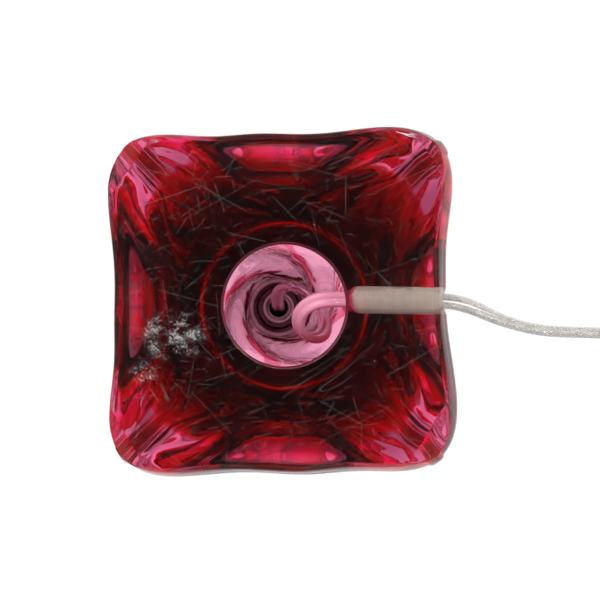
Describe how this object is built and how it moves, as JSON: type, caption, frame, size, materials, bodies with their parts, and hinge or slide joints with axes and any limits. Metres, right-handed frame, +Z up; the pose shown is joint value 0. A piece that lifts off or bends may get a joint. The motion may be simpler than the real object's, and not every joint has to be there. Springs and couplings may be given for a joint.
{
  "type": "table lamp",
  "caption": "Table lamp of clear crystal cased over ruby glass: hollow square foot twisting up into a slender stem, push-bar E27 lampholder on top, clear flat cord from foot to coil and plug.",
  "frame": {"origin": "centre of the foot on the surface that the lamp stands on", "axes": "+Z up along the stem, +Y to the back where the cord leaves the foot, +X to the right along the switch's push bar"},
  "size_m": [0.1298, 0.3239, 0.3082],
  "materials": {
    "crystal": "polished clear lead crystal cased over deep ruby glass, ground flat underneath and scratched by use",
    "chrome": "polished chrome plate",
    "steel": "plain zinc-plated or nickelled steel",
    "brass": "bare contact brass",
    "seal": "soft pale rubber",
    "bakelite": "black moulded phenolic",
    "porcelain": "white glazed porcelain",
    "cord": "clear PVC over two tinned copper strands",
    "tie": "black wire tie",
    "plug": "white moulded PVC"
  },
  "bodies": {
    "lamp": {"crystal_body": "crystal", "lower_gasket": "seal", "upper_gasket": "seal", "cup_washer": "chrome", "retaining_nut": "chrome", "threaded_tube": "steel", "check_ring": "steel", "neck_cap": "chrome", "lock_nut": "chrome", "lampholder_cup": "chrome", "grub_screw": "steel", "cord_grip": "bakelite", "switch_housing": "bakelite", "porcelain_insert": "porcelain", "terminal_screw_live": "brass", "terminal_screw_neutral": "brass", "screw_shell": "brass", "lampholder_sleeve": "chrome", "inner_cord": "cord", "mains_cord": "cord", "mains_cord_coil": "cord", "mains_cord_tail": "cord", "cord_tie": "tie", "mains_plug": "plug", "plug_strain_relief": "plug", "plug_pin_left": "steel", "plug_pin_right": "steel"},
    "switch": {"switch_bar": "chrome", "switch_knob_left": "bakelite", "switch_knob_right": "bakelite", "switch_contact_bridge": "brass"},
    "ring": {"shade_ring": "chrome"},
    "contact": {"centre_contact": "brass"}
  },
  "joints": [
    {"name": "switch_push", "type": "slide", "parent": "lamp", "child": "switch", "axis": [1, 0, 0], "range_m": [0, 0.006]},
    {"name": "shade_ring_turn", "type": "hinge", "parent": "lamp", "child": "ring", "pos_m": [0, 0, 0.2965], "axis": [0, 0, 1], "continuous": true},
    {"name": "centre_contact_press", "type": "slide", "parent": "lamp", "child": "contact", "axis": [0, 0, 1], "range_m": [-0.0015, 0], "stiffness_N_per_m": 2500}
  ]
}
